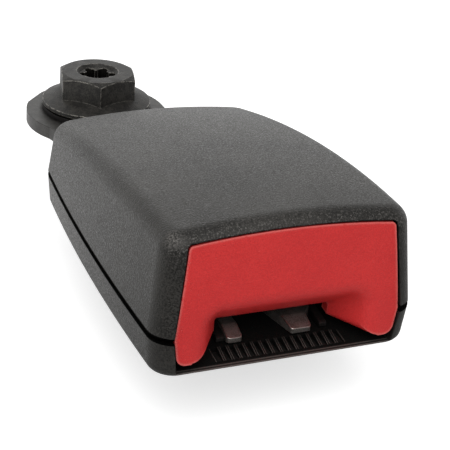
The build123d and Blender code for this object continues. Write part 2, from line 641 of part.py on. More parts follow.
def latch_ramp():
    """Side profile of the wedge on the latch that the lock pin rides up to lock it."""
    a = radians(LATCH_DROP)
    back = (LOCK_REST_Y - PIVOT_Y, LOCK_Z - PIVOT_Z)
    y1, z1 = LOCK_REST_Y - LOCK_TRAVEL - PIVOT_Y, LOCK_Z - PIVOT_Z
    ahead = (y1 * cos(a) + z1 * sin(a), z1 * cos(a) - y1 * sin(a))
    slope = atan2(ahead[1] - back[1], back[0] - ahead[0])
    gap = LOCK_R + LOCK_RAMP_CLEAR
    foot = (back[0] - gap * sin(slope), back[1] - gap * cos(slope))
    low = LATCH_THICK / 2
    start = foot[0] + (foot[1] - low) / tan(slope)
    crest_y = ahead[0] - gap * sin(slope) - 0.8
    crest_z = low + (start - crest_y) * tan(slope)
    points = [(start, 0), (start, low), (crest_y, crest_z), (crest_y - 1.4, crest_z),
              (crest_y - 2.2, low), (crest_y - 2.2, 0)]
    return [(PIVOT_Y + y, PIVOT_Z + z) for y, z in points]


def latch_plate():
    """Hinged steel latch, raised: its tooth drops through the tongue's window."""
    half = LATCH_THICK / 2
    bottom, top = PIVOT_Z - half, PIVOT_Z + half
    plate = box(-LATCH_HALF, LATCH_HALF, LATCH_NECK_Y, LATCH_TAIL_Y, bottom, top)
    corners = plate.edges().filter_by(Axis.Z)
    plate = fillet(corners, 1.5)
    neck = box(-TOOTH_HALF, TOOTH_HALF, TOOTH_Y, LATCH_NECK_Y + 3, bottom, top)
    tooth_tip = PATH_TOP_Z + TOOTH_OVER_PATH
    tooth = across([(TOOTH_Y, top), (TOOTH_Y, tooth_tip), (TOOTH_Y + TOOTH_THICK - 1, tooth_tip),
                    (TOOTH_Y + TOOTH_THICK, bottom), (TOOTH_Y + TOOTH_THICK, top)],
                   -TOOTH_HALF, TOOTH_HALF)
    latch = plate + neck + tooth + across(latch_ramp(), -LATCH_HALF + 2, LATCH_HALF - 2)
    reach = FRAME_HALF_IN - SIDE_CLEAR
    ears = cross_rod(LATCH_EAR_R, PIVOT_Y, PIVOT_Z, reach)
    ears -= cross_rod(2 * LATCH_EAR_R, PIVOT_Y, PIVOT_Z, LATCH_HALF - 1.5)
    latch += ears
    hub = cross_rod(PIVOT_R + HUB_WALL, PIVOT_Y, PIVOT_Z, LATCH_HALF - 1)
    reach = EJECTOR_TOWER_HALF + TOWER_CLEAR
    hub -= box(-reach, reach, PIVOT_Y - LATCH_EAR_R, PIVOT_Y + LATCH_EAR_R, 0, bottom)
    return latch + hub - cross_rod(PIVOT_R + RUN_CLEAR, PIVOT_Y, PIVOT_Z, 30)


def latch_pin():
    pin = cross_rod(PIVOT_R, PIVOT_Y, PIVOT_Z, FRAME_HALF_OUT)
    return chamfer(pin.edges().filter_by(GeomType.CIRCLE), 0.3)


def lock_pin():
    pin = cross_rod(LOCK_R, LOCK_REST_Y, LOCK_Z, ARM_INNER_X + ARM_THICK + 0.4)
    return chamfer(pin.edges().filter_by(GeomType.CIRCLE), 0.4)


def ejector():
    """Forked plastic slider that pushes the tongue out."""
    z0, z1 = BASE_TOP_Z + EJECTOR_FLOAT, PATH_TOP_Z
    inner = TOOTH_HALF + 0.9
    fork = box(inner, EJECTOR_FORK_OUT, EJECTOR_NOSE_Y, EJECTOR_BODY_Y + 1, z0, z1)
    body = box(-FRAME_HALF_IN + SIDE_CLEAR + 0.4, FRAME_HALF_IN - SIDE_CLEAR - 0.4,
               EJECTOR_BODY_Y, EJECTOR_REAR_Y, z0, z1)
    corners = body.edges().filter_by(Axis.Z)
    body = fillet(corners, 1.0)
    reach = EJECTOR_SPRING["coil_r"] + EJECTOR_SPRING["wire_r"]
    tower = box(-EJECTOR_TOWER_HALF, EJECTOR_TOWER_HALF, EJECTOR_REAR_Y - 3.2,
                EJECTOR_REAR_Y, z0, SPRING_Z + reach)
    key = box(-EJECTOR_KEY_HALF, EJECTOR_KEY_HALF, EJECTOR_BODY_Y + 1, EJECTOR_REAR_Y,
              FLOOR + 0.4, z0 + 0.1)
    peg = Pos(0, EJECTOR_REAR_Y + 1.2, SPRING_Z) * Rot(90, 0, 0) * Cylinder(1.2, 3.0)
    return both_sides(fork) + body + tower + key + peg


def tongue_guide():
    """Plastic portal behind the mouth, with a runner beside each prong."""
    z0 = FLOOR
    tip_top = BASE_TOP_Z - PRONG_DROP
    runner = across([(RUNNER_FRONT_Y, z0), (RUNNER_FRONT_Y, tip_top - 0.2),
                     (RUNNER_FRONT_Y + 0.5, tip_top), (PORTAL_FRONT_Y, BASE_TOP_Z),
                     (PORTAL_FRONT_Y + 1, BASE_TOP_Z), (PORTAL_FRONT_Y + 1, z0)],
                    RUNNER_IN_X, RUNNER_OUT_X)
    shoe = box(RUNNER_IN_X, PORTAL_HALF, PORTAL_FRONT_Y, PORTAL_REAR_Y, z0, BASE_TOP_Z)
    post = box(SLOT_HALF, PORTAL_HALF, PORTAL_FRONT_Y, PORTAL_REAR_Y, z0,
               PATH_TOP_Z + PORTAL_BRIDGE)
    bridge = box(-PORTAL_HALF, PORTAL_HALF, PORTAL_FRONT_Y, PORTAL_REAR_Y,
                 PATH_TOP_Z + 0.2, PATH_TOP_Z + PORTAL_BRIDGE)
    lead = [e for e in bridge.edges().filter_by(Axis.X)
            if e.center().Y < PORTAL_FRONT_Y + 0.1 and e.center().Z < PATH_TOP_Z + 1]
    bridge = fillet(lead, 0.8)
    return both_sides(runner + shoe + post) + bridge


# --- Springs --------------------------------------------------------------------------------

def coil(length, coil_r, wire_r, turns):
    """Compression spring standing on the XY plane, ends clear of their seats."""
    low = wire_r + SPRING_SEAT_GAP
    pitch = (length - 2 * low) / turns
    lean = atan2(pitch, 2 * pi * coil_r)
    sections = []
    for i in range(round(turns * COIL_STEPS) + 1):
        a = 2 * pi * i / COIL_STEPS
        centre = (coil_r * cos(a), coil_r * sin(a), low + pitch * i / COIL_STEPS)
        tangent = (-sin(a) * cos(lean), cos(a) * cos(lean), sin(lean))
        across_wire = Plane(origin=centre, x_dir=(cos(a), sin(a), 0), z_dir=tangent)
        sections.append(across_wire * RegularPolygon(wire_r, WIRE_SIDES))
    return loft(sections, ruled=True)


def button_spring(side):
    along = Pos(side * ARM_MID_X, ARM_REAR_Y, BUTTON_SPRING_Z) * Rot(-90, 0, 0)
    return along * coil(SPRING_POST_Y - ARM_REAR_Y, **BUTTON_SPRING)


def ejector_spring():
    along = Pos(0, EJECTOR_REAR_Y, SPRING_Z) * Rot(-90, 0, 0)
    return along * coil(SPRING_TAB_Y - EJECTOR_REAR_Y, **EJECTOR_SPRING)


def latch_spring(side):
    height = PIVOT_Z - LATCH_THICK / 2 - BASE_TOP_Z
    place = Pos(side * LATCH_SPRING_X, LATCH_SPRING_Y, BASE_TOP_Z)
    return place * coil(height, **LATCH_SPRING)


# --- Anchor ------------------------------------------------------------------------------------

def anchor_strap():
    """Steel strap, cranked up to the covers' seam, with a round eye for the bolt."""
    t = STRAP_THICK
    y0, y1 = STRAP_CRANK_Y, STRAP_CRANK_Y + STRAP_CRANK_RUN
    low, high = BASE_TOP_Z, STRAP_BOTTOM_Z
    end = ANCHOR_Y + STRAP_EYE_R + 1
    side = across([(STRAP_FRONT_Y, low), (y0, low), (y1, high), (end, high),
                   (end, high + t), (y1, high + t), (y0, low + t), (STRAP_FRONT_Y, low + t)],
                  -30, 30)
    bends = [e for e in side.edges().filter_by(Axis.X) if y0 - 1 < e.center().Y < y1 + 1]
    side = fillet(bends, 1.2)
    eye = Pos(ANCHOR_X, ANCHOR_Y, 0) * Circle(STRAP_EYE_R)
    lean = radians(STRAP_NECK_TURN)
    meets = (ANCHOR_X - STRAP_EYE_R * cos(lean), ANCHOR_Y - STRAP_EYE_R * sin(lean))
    band = make_face(Polyline(
        (-STRAP_HALF, STRAP_FRONT_Y), (STRAP_HALF, STRAP_FRONT_Y),
        (ANCHOR_X + STRAP_EYE_R, ANCHOR_Y), (ANCHOR_X, ANCHOR_Y), meets,
        (-STRAP_HALF, REAR_Y + 1.5), close=True))
    plan = extrude(Pos(0, 0, -1) * (eye + band), FRONT_TOP)
    strap = side & plan
    beyond = box(STRAP_FLAT_OFF, STRAP_FLAT_OFF + 5, -STRAP_HALF, STRAP_HALF, 0, FRONT_TOP)
    strap -= Pos(ANCHOR_X, ANCHOR_Y, 0) * Rot(0, 0, STRAP_FLAT_TURN) * beyond
    strap -= rod(BUSH_R + BUSH_CLEAR, ANCHOR_X, ANCHOR_Y, 0, FRONT_TOP)
    for x in (-RIVET_X, RIVET_X):
        strap -= rod(RIVET_R, x, RIVET_Y, 0, FRONT_TOP)
    corners = [e for e in strap.edges().filter_by(Axis.Z) if e.center().Y < STRAP_FRONT_Y + 0.1]
    return fillet(corners, 3.0)


def frame_rivets():
    """Two solid rivets that join the strap to the frame."""
    body = rod(RIVET_R, 0, 0, FLOOR, STRAP_TOP_IN_Z)
    head = rod(RIVET_HEAD_R, 0, 0, STRAP_TOP_IN_Z, STRAP_TOP_IN_Z + RIVET_HEAD_H)
    head = chamfer(head.edges().sort_by(Axis.Z)[-1], RIVET_HEAD_H * 0.6)
    return [Pos(x, RIVET_Y, 0) * (body + head) for x in (-RIVET_X, RIVET_X)]


def turned(points):
    """Solid of revolution about the anchor axis of an outline of (radius, z) points."""
    face = Plane.XZ * make_face(Polyline(*points, close=True))
    return Pos(ANCHOR_X, ANCHOR_Y, 0) * revolve(face, Axis.Z)


def anchor_bush():
    """Plastic bush that lets the strap swing on the bolt."""
    bore = SHOULDER_R + BUSH_CLEAR
    return turned([(bore, STRAP_BOTTOM_Z), (BUSH_R, STRAP_BOTTOM_Z), (BUSH_R, STRAP_TOP_Z),
                   (BUSH_FLANGE_R, STRAP_TOP_Z), (BUSH_FLANGE_R, BUSH_TOP_Z),
                   (bore, BUSH_TOP_Z)])


def spring_washer():
    """Dished spring washer between the bush and the bolt's flange."""
    bore = SHOULDER_R + 1.8
    return turned([(bore, BUSH_TOP_Z), (WAVE_R, BUSH_TOP_Z + WAVE_RISE),
                   (WAVE_R, BUSH_TOP_Z + WAVE_RISE + WAVE_THICK),
                   (bore, BUSH_TOP_Z + WAVE_THICK)])


def keeper_washer():
    """Fibre washer under the strap that keeps the bolt from falling out."""
    bore = SHOULDER_R + BUSH_CLEAR
    return turned([(bore, SEAT_Z), (KEEPER_R, SEAT_Z),
                   (KEEPER_R, STRAP_BOTTOM_Z), (bore, STRAP_BOTTOM_Z)])


def anchor_bolt():
    """Flanged hexagon bolt with a six-lobed recess."""
    tip = SEAT_Z - SHANK_LENGTH
    rim = FLANGE_Z + FLANGE_RIM
    hex_base = rim + FLANGE_RISE
    hex_top = rim + HEX_RISE
    bolt = turned([(0, tip), (SHANK_R - SHANK_CHAMFER, tip), (SHANK_R, tip + SHANK_CHAMFER),
                   (SHANK_R, SEAT_Z), (SHOULDER_R, SEAT_Z), (SHOULDER_R, FLANGE_Z),
                   (FLANGE_R, FLANGE_Z), (FLANGE_R, rim),
                   (HEX_FLATS / 2, hex_base), (0, hex_base)])
    hexagon = RegularPolygon(HEX_CORNER_R, 6, rotation=HEX_TURN - 90)
    head = extrude(Pos(ANCHOR_X, ANCHOR_Y, hex_base - 1.5) * hexagon, hex_top - hex_base + 1.5)
    crown = turned([(0, 0), (HEX_CORNER_R + 0.4, 0), (HEX_CORNER_R + 0.4, hex_top - 1.1),
                    (HEX_CROWN_R - 1.2, hex_top), (0, hex_top)])
    bolt += head & crown
    return bolt - drive_recess(hex_top)


def drive_recess(top):
    """Six-lobed socket in the bolt's head."""
    flower = Circle(DRIVE_CORE_R)
    for i in range(DRIVE_LOBES):
        a = radians(HEX_TURN + 360 / DRIVE_LOBES * i)
        r = DRIVE_R - DRIVE_LOBE_R
        flower += Pos(r * cos(a), r * sin(a)) * Circle(DRIVE_LOBE_R)
    socket = extrude(Pos(ANCHOR_X, ANCHOR_Y, top - DRIVE_DEPTH) * flower, DRIVE_DEPTH + 1)
    sink = turned([(0, top - DRIVE_SINK_DEPTH), (DRIVE_R - 0.2, top - DRIVE_SINK_DEPTH),
                   (DRIVE_SINK_R, top), (DRIVE_SINK_R, top + 1), (0, top + 1)])
    return socket + sink


# --- Files -------------------------------------------------------------------------------------

def export_part(name, shapes):
    """Move one node's solids to the part's frame and write its STEP file."""
    solids = shapes if isinstance(shapes, list) else [shapes]
    solids = [s for shape in solids for s in shape.solids()]
    home = Pos(-ANCHOR_X, -ANCHOR_Y, -SEAT_Z)
    placed = [home * s for s in solids]
    export_step(placed[0] if len(placed) == 1 else Compound(children=placed),
                f"parts/{name}.step")


os.makedirs("parts", exist_ok=True)
export_part("upper_cover", upper_cover())
export_part("lower_cover", lower_cover())
export_part("cover_screws", cover_screws())
export_part("release_button", release_button())
export_part("button_spring_left", button_spring(-1))
export_part("button_spring_right", button_spring(1))
export_part("buckle_frame", buckle_frame())
export_part("tongue_guide", tongue_guide())
export_part("latch_plate", latch_plate())
export_part("latch_pin", latch_pin())
export_part("latch_spring_left", latch_spring(-1))
export_part("latch_spring_right", latch_spring(1))
export_part("lock_pin", lock_pin())
export_part("ejector", ejector())
export_part("ejector_spring", ejector_spring())
export_part("anchor_strap", anchor_strap())
export_part("frame_rivets", frame_rivets())
export_part("anchor_bolt", anchor_bolt())
export_part("anchor_bush", anchor_bush())
export_part("spring_washer", spring_washer())
export_part("keeper_washer", keeper_washer())
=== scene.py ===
from math import cos, pi, radians, sin

import bmesh
import bpy
from mathutils import Matrix, Vector


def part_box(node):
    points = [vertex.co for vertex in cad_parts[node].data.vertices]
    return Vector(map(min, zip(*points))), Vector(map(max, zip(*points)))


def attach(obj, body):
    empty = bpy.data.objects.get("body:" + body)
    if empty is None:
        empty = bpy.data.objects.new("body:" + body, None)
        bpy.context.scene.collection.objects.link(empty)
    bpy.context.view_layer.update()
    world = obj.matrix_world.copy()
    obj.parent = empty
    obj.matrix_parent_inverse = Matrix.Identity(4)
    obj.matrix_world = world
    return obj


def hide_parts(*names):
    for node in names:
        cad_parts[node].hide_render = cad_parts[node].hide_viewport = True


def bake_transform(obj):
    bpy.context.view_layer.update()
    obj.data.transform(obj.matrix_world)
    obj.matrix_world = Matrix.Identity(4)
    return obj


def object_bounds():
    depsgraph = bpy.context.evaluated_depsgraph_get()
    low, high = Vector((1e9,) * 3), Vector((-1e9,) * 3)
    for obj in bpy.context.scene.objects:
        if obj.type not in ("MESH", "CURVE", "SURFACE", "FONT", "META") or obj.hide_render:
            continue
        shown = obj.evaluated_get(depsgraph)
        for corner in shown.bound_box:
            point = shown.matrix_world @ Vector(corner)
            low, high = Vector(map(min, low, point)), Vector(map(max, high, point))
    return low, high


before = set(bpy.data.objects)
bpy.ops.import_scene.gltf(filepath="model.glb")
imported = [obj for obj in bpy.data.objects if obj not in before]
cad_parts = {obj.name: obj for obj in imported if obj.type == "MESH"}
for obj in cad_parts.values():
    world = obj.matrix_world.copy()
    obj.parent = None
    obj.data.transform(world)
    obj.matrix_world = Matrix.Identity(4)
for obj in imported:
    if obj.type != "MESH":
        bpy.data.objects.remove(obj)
cad_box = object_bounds()

MM = 0.001
WELD = 1e-7                    # corners closer than this are merged

# A pair called a fade: the mask, or the change that it drives, starts at the first value and
# is whole at the second.

# --- Camera --------------------------------------------------------------------------------
CAMERA_TARGET = Vector((3.2, -70.0, 7.0)) * MM
CAMERA_DISTANCE = 268.05 * MM
CAMERA_AZIMUTH = -24.457
CAMERA_ELEVATION = 25.979
CAMERA_ROLL = 4.655
CAMERA_LENS = 105.63
CAMERA_SENSOR = 36.0
CAMERA_SHIFT = (0.01772, -0.01198)
CAMERA_NEAR = 0.01

# --- Shared surface effects ----------------------------------------------------------------
GRIT_FADE = (0.36, 0.64)       # range of the fine noise, then of the slow noise
TONE_FADE = (0.35, 0.65)
PIT_SHARE = 0.7                # height of the pits against that of the grit
EDGE_FADE = (0.995, 0.90)      # cosine between the plain and the rounded normal
LENGTHWISE_FADE = (0.08, 0.30)   # how far the rounded normal leans to one side
OPEN_REACH = 3.0               # how far open sky is looked for, in edge radii
OPEN_SOFT = 0.2
WEAR_AND_HIGHLIGHT_NOISE = (0.75, 0.5, 0.12)   # level, how far a full amount lowers it, softness
SPECK_NOISE = (0.74, 0.3, 0.06)
CLEFT_FADE = (0.85, 0.20)      # share of open sky

# --- Covers --------------------------------------------------------------------------------
MIDDLE_X = 3.2 * MM            # middle plane of the buckle
SEAM_Z = 3.0 * MM
SEAM_FADE = (0.72 * MM, 0.64 * MM)        # distance from the seam's middle, for the groove's painted shade
WORN_LIT_CORNER = Vector((-19.5, -102.3, 21.5)) * MM
CORNER_PATCH_FADE = (2.4 * MM, 0.4 * MM)         # distance from the worn and lit corner
CORNER_PATCH_GRIT = (0.3, 0.8, 0.05, 0.75)       # the grain's grit, and the mask it gives
BROW_FADE_Y = (-100.5 * MM, -103.5 * MM)
BROW_FADE_Z = (15 * MM, 20 * MM)
MOUTH_FADE_X = (22.0 * MM, 21.5 * MM)     # distance from the middle plane
MOUTH_FADE_LOW = (-4.7 * MM, -4.4 * MM)
MOUTH_FADE_HIGH = (3.0 * MM, 2.0 * MM)
MOUTH_SOFT = 1.2 * MM
RAMP_FRONT = -105.6 * MM
LIP_FRONT = -108.0 * MM
RIB_TIP_FADE = (-98.5 * MM, -103.5 * MM)
LIP_HIGHLIGHT_LINES = (-105.70 * MM, -104.90 * MM)  # thin painted highlight lines across the mouth's lip
LINE_FADE = (0.22 * MM, 0.08 * MM)
LINE_SHARE = 0.7
FEW_SPECKS_SHARE = 0.6
BROW_SPECKS_SHARE = 0.45
MOUTH_SHADE = 0.85             # painted shade: how far the mouth goes to black
MOUTH_UNLIT = 0.7              # and how far it loses its shine, also painted shade
# Next four: a value outside the mouth, then its value on the lip, or at the ribs' tips. Outside
# they make faint wear, on the lip and the tips painted highlights.
EDGE_AMOUNT = (0.35, 1.2)
EDGE_RADIUS_MM = (1.2, 0.32)
EDGE_SHARE = (0.3, 1.0)
RIB_SHARE = (0.1, 0.9)

# --- Colours, each a dark and a light, or one alone ----------------------------------------
CHARCOAL = ((0.006, 0.0056, 0.005), (0.026, 0.0245, 0.022))
# Dust colour, also used for painted glints on the brow and the painted highlight at one corner.
CHARCOAL_DUST_AND_GLINT = (0.17, 0.16, 0.15)
# Scuff colour, also used for the painted highlights on the mouth's lip and ribs.
CHARCOAL_SCUFF_AND_HIGHLIGHT = (0.13, 0.110, 0.10)
WARM_GLEAM = (1.0, 0.975, 0.93, 1.0)
# The next two blacks are painted shade, for the seam's groove, the mouth and the clefts.
SHADE_BLACK = (0.003, 0.003, 0.003)
PITCH_BLACK = (0.002, 0.002, 0.002)
RED = ((0.565, 0.022, 0.023), (0.650, 0.029, 0.028))
RED_DUST = (0.75, 0.22, 0.2)
RED_SCUFF = (0.80, 0.25, 0.22)
# Deep red for the button's painted shade in its scoop and hollows.
RED_DEEP = (0.16, 0.004, 0.005)
INNER_BLACK = ((0.006, 0.005, 0.005), (0.014, 0.012, 0.011))
INNER_SCUFF = (0.07, 0.06, 0.056)
FLOOR_DARK = (0.04, 0.04, 0.04)           # floor's own colour for reflections
WHITE = (1.0, 1.0, 1.0, 1.0)

# --- Steels --------------------------------------------------------------------------------
STEELS = {
    "frame_steel": dict(dark=(0.16, 0.145, 0.135), light=(0.30, 0.275, 0.255),
                        worn=(0.60, 0.56, 0.52), metal=0.75, rough=0.38, wear=1.0),
    "latch_steel": dict(dark=(0.36, 0.36, 0.36), light=(0.48, 0.48, 0.49),
                        worn=(0.62, 0.62, 0.62), metal=0.95, rough=0.34, wear=0.5),
    "spring_steel": dict(dark=(0.44, 0.44, 0.44), light=(0.56, 0.56, 0.56),
                         worn=(0.66, 0.66, 0.66), metal=1.0, rough=0.28, wear=0.3),
    "screw_steel": dict(dark=(0.28, 0.28, 0.29), light=(0.40, 0.40, 0.41),
                        worn=(0.55, 0.55, 0.55), metal=0.95, rough=0.34, wear=0.5),
    "phosphated_steel": dict(dark=(0.022, 0.0205, 0.0185), light=(0.056, 0.0535, 0.049),
                             worn=(0.30, 0.28, 0.25), metal=0.25, rough=0.50, wear=0.35,
                             patch_mm=2.2, reach_mm=2.0, shadow_mm=13.9, size_mm=0.30,
                             depth_mm=0.03),
}
# The bolt's clefts reach far, so painted shade spreads into its recess and round its flange.
OILED_PHOSPHATE = dict(dark=(0.007, 0.0062, 0.0052), light=(0.036, 0.033, 0.028),
                       worn=(0.38, 0.36, 0.32), metal=0.2, rough=0.56, wear=0.66,
                       patch_mm=1.8, reach_mm=9.0, size_mm=0.36, depth_mm=0.06)
# Painted shadow of the bolt's flange on the strap: its soft edge and its strength.
SHADOW_SOFT_MM = 1.8
SHADOW_SHARE = 0.95
SPECK_SHARE = 0.35
SHADE_SHARE = 0.25             # of the steel's dark colour, as painted shade in its clefts
SHADE_METAL_FADE = (0.15, 0.75)   # painted shade over which it goes from its own metal to full, so that it shines little
SHADE_ROUGH_FADE = (0.0, 0.6)
SHADE_ROUGH = 0.85
WORN_ROUGH = 0.3
ROUGH_SPREAD = 0.08            # to either side of a steel's own roughness

# --- Anchor bolt ---------------------------------------------------------------------------
SHANK_R = 5.556 * MM
SHANK_CUT_Z = -2.0 * MM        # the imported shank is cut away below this
THREAD_PITCH = 1.27 * MM       # 20 turns to the inch
THREAD_DEPTH = 0.72 * MM
THREAD_STEPS = 36
THREAD_SINK = 0.1 * MM         # the ridge starts this far inside the core
ROOT_RISE = 0.15 * MM
ROOT_HALF = 0.98               # half widths of the ridge, in half pitches
FLANK_HALF = 0.92
CREST_HALF = 0.14
POINT_LENGTH = 1.6 * MM        # plain end below the thread
POINT_NARROWING = 0.6 * MM
POINT_RISE = 0.8 * MM
CORE_LAP = 0.2 * MM            # the core reaches this far into the cut shank
CREASE = radians(28)

# --- Springs -------------------------------------------------------------------------------
# node, body that its free end follows, lengthwise axis, turns, coil and wire radius in mm
SPRINGS = [
    ("button_spring_left", "button", "Y", 9, 1.55, 0.25),
    ("button_spring_right", "button", "Y", 9, 1.55, 0.25),
    ("ejector_spring", "ejector", "Y", 9, 2.1, 0.3),
    ("latch_spring_left", "latch", "Z", 5, 1.7, 0.25),
    ("latch_spring_right", "latch", "Z", 5, 1.7, 0.25),
]
COIL_STEPS = 24
WIRE_SIDES = 8

# --- Light ---------------------------------------------------------------------------------
ROOM_LIGHT = 0.36
FAR_SHINE = 1.15               # brightness of the room's far side in reflections
NEAR_SHINE = 0.60              # of its near side
DARK_SHINE = 0.05              # and of its ceiling and the floor's near edge
WALL_FADE = (-0.2, 0.6)        # from the near to the far side, along Y
CEILING_FADE = (0.95, 0.15)    # from overhead down to the walls, along Z
FLOOR_TONE = 0.74
FLOOR_GLOW = 0.62
FLOOR_SHINE = 1.25
FLOOR_FADE = (-150 * MM, 0.0)
FLOOR_SIZE = 3.0
FLOOR_GAP = 0.05 * MM
LAMPS = [
    ("key_lamp", (-0.35, -0.80, 1.10), 1.4, 15.5),
    ("rear_lamp", (0.20, 1.00, 0.90), 1.2, 4.5),
]


# --- Node helpers --------------------------------------------------------------------------

def new_group(name, inputs, outputs):
    """Empty shader node group with the given float inputs and outputs."""
    group = bpy.data.node_groups.new(name, "ShaderNodeTree")
    for label, value in inputs:
        socket = group.interface.new_socket(label, in_out="INPUT", socket_type="NodeSocketFloat")
        socket.default_value = value
    for label in outputs:
        group.interface.new_socket(label, in_out="OUTPUT", socket_type="NodeSocketFloat")
    start = group.nodes.new("NodeGroupInput")
    end = group.nodes.new("NodeGroupOutput")
    return group, start, end


def add(tree, kind, settings=(), **links):
    """New node with its settings; links give the sockets that feed its named inputs."""
    node = tree.nodes.new(kind)
    for name, value in dict(settings).items():
        if name in node.inputs:
            node.inputs[name].default_value = value
        else:
            setattr(node, name, value)
    for name, source in links.items():
        tree.links.new(source, node.inputs[name.replace("_", " ")])
    return node


def feed(tree, socket, value):
    """Gives a socket its value, which is another socket or a number."""
    if isinstance(value, (int, float)):
        socket.default_value = value
    else:
        tree.links.new(value, socket)


def calc(tree, operation, first, second=0.0):
    """Math node of one or two values, each a socket or a number."""
    node = tree.nodes.new("ShaderNodeMath")
    node.operation = operation
    feed(tree, node.inputs[0], first)
    feed(tree, node.inputs[1], second)
    return node.outputs[0]


def times(tree, product, *factors):
    """Product of two or more values."""
    for factor in factors:
        product = calc(tree, "MULTIPLY", product, factor)
    return product


def most(tree, highest, *others):
    """Highest of two or more values."""
    for other in others:
        highest = calc(tree, "MAXIMUM", highest, other)
    return highest


def apart(tree, value, place):
    """Distance of a value from a place."""
    return calc(tree, "ABSOLUTE", calc(tree, "SUBTRACT", value, place))


def ramp(tree, value, low, high, to_low=0.0, to_high=1.0):
    """The value, clamped from the range low to high to a new range."""
    node = tree.nodes.new("ShaderNodeMapRange")
    for name, number in (("From Min", low), ("From Max", high),
                         ("To Min", to_low), ("To Max", to_high)):
        feed(tree, node.inputs[name], number)
    tree.links.new(value, node.inputs["Value"])
    return node.outputs["Result"]


def mix(tree, factor, first, second):
    """Colour mix of two colours, each a socket or an RGB triple."""
    node = tree.nodes.new("ShaderNodeMix")
    node.data_type = "RGBA"
    tree.links.new(factor, node.inputs["Factor"])
    for name, colour in (("A", first), ("B", second)):
        socket = [s for s in node.inputs if s.name == name and s.type == "RGBA"][0]
        if isinstance(colour, tuple):
            socket.default_value = (*colour, 1.0)
        else:
            tree.links.new(colour, socket)
    return [s for s in node.outputs if s.type == "RGBA"][0]


def use(tree, group, **values):
    """Places a node group, with numbers for its inputs."""
    node = tree.nodes.new("ShaderNodeGroup")
    node.node_tree = group
    for name, value in values.items():
        node.inputs[name.replace("_", " ")].default_value = value
    return node


def object_place(tree):
    """Place on the part, from Object coordinates."""
    return add(tree, "ShaderNodeTexCoord").outputs["Object"]


def per_metre(group, size_mm):
    """Scale of a texture whose features have a size in mm."""
    return calc(group, "DIVIDE", 1 / MM, size_mm)


def over_level(group, noise, amount, level, drop, soft):
    """Mask of the noise above a level, which sinks as the amount grows."""
    limit = calc(group, "SUBTRACT", level, times(group, amount, drop))
    return ramp(group, noise, limit, calc(group, "ADD", limit, soft))


# --- Shared surface effects ----------------------------------------------------------------

def grain_group():
    """Fine leathery grain of a spark-eroded mould, with slow changes of tone."""
    group, start, end = new_group("moulded grain", [("Size mm", 0.3), ("Patch mm", 14.0)],
                                  ["Height", "Grit", "Tone"])
    place = object_place(group)
    fine = per_metre(group, start.outputs["Size mm"])
    slow = per_metre(group, start.outputs["Patch mm"])
    pits = add(group, "ShaderNodeTexVoronoi", dict(feature="SMOOTH_F1", Smoothness=0.6),
               Vector=place, Scale=fine)
    grit = add(group, "ShaderNodeTexNoise", dict(Detail=3.0, Roughness=0.6),
               Vector=place, Scale=fine)
    cloud = add(group, "ShaderNodeTexNoise", dict(Detail=4.0, Roughness=0.55),
                Vector=place, Scale=slow)
    height = calc(group, "ADD", times(group, pits.outputs["Distance"], PIT_SHARE),
                  grit.outputs["Fac"])
    group.links.new(height, end.inputs["Height"])
    group.links.new(ramp(group, grit.outputs["Fac"], *GRIT_FADE), end.inputs["Grit"])
    group.links.new(ramp(group, cloud.outputs["Fac"], *TONE_FADE), end.inputs["Tone"])
    return group


def edge_wear_and_highlight_group():
    """Masks of outer edges, found where a rounded normal leaves the plain one.

    Mask is broken up by noise. Lengthwise is whole, and only of edges that run along Y or Z.
    Openness is how much open sky an edge needs; below zero, every edge counts.
    """
    # The mask marks worn edges; on the cover's mouth it gives painted highlights.
    group, start, end = new_group(
        "rubbed edges",
        [("Radius mm", 0.4), ("Patch mm", 2.0), ("Amount", 0.5), ("Openness", 0.7)],
        ["Mask", "Lengthwise"])
    radius = times(group, start.outputs["Radius mm"], MM)
    rounded = add(group, "ShaderNodeBevel", dict(samples=6), Radius=radius)
    plain = group.nodes.new("ShaderNodeNewGeometry")
    both = add(group, "ShaderNodeVectorMath", dict(operation="DOT_PRODUCT"))
    group.links.new(rounded.outputs["Normal"], both.inputs[0])
    group.links.new(plain.outputs["Normal"], both.inputs[1])
    open_sky = add(group, "ShaderNodeAmbientOcclusion", dict(samples=4),
                   Distance=times(group, radius, OPEN_REACH))
    clear = calc(group, "ADD", start.outputs["Openness"], OPEN_SOFT)
    outer = ramp(group, open_sky.outputs["AO"], start.outputs["Openness"], clear)
    edge = times(group, ramp(group, both.outputs["Value"], *EDGE_FADE), outer)
    blotch = add(group, "ShaderNodeTexNoise", dict(Detail=5.0, Roughness=0.7),
                 Vector=object_place(group), Scale=per_metre(group, start.outputs["Patch mm"]))
    broken = over_level(group, blotch.outputs["Fac"], start.outputs["Amount"], *WEAR_AND_HIGHLIGHT_NOISE)
    group.links.new(times(group, edge, broken), end.inputs["Mask"])
    bent = add(group, "ShaderNodeSeparateXYZ", Vector=rounded.outputs["Normal"])
    flat = add(group, "ShaderNodeSeparateXYZ", Vector=plain.outputs["Normal"])
    lean = apart(group, bent.outputs["X"], flat.outputs["X"])
    turned = ramp(group, lean, *LENGTHWISE_FADE)
    group.links.new(times(group, turned, outer), end.inputs["Lengthwise"])
    return group


def specks_group():
    """Sparse light specks, such as dust in the grain, worn-off skin or painted glints."""
    group, start, end = new_group("specks", [("Size mm", 0.6), ("Amount", 0.3)], ["Mask"])
    noise = add(group, "ShaderNodeTexNoise", dict(Detail=2.0, Roughness=0.8),
                Vector=object_place(group), Scale=per_metre(group, start.outputs["Size mm"]))
    mask = over_level(group, noise.outputs["Fac"], start.outputs["Amount"], *SPECK_NOISE)
    group.links.new(mask, end.inputs["Mask"])
    return group


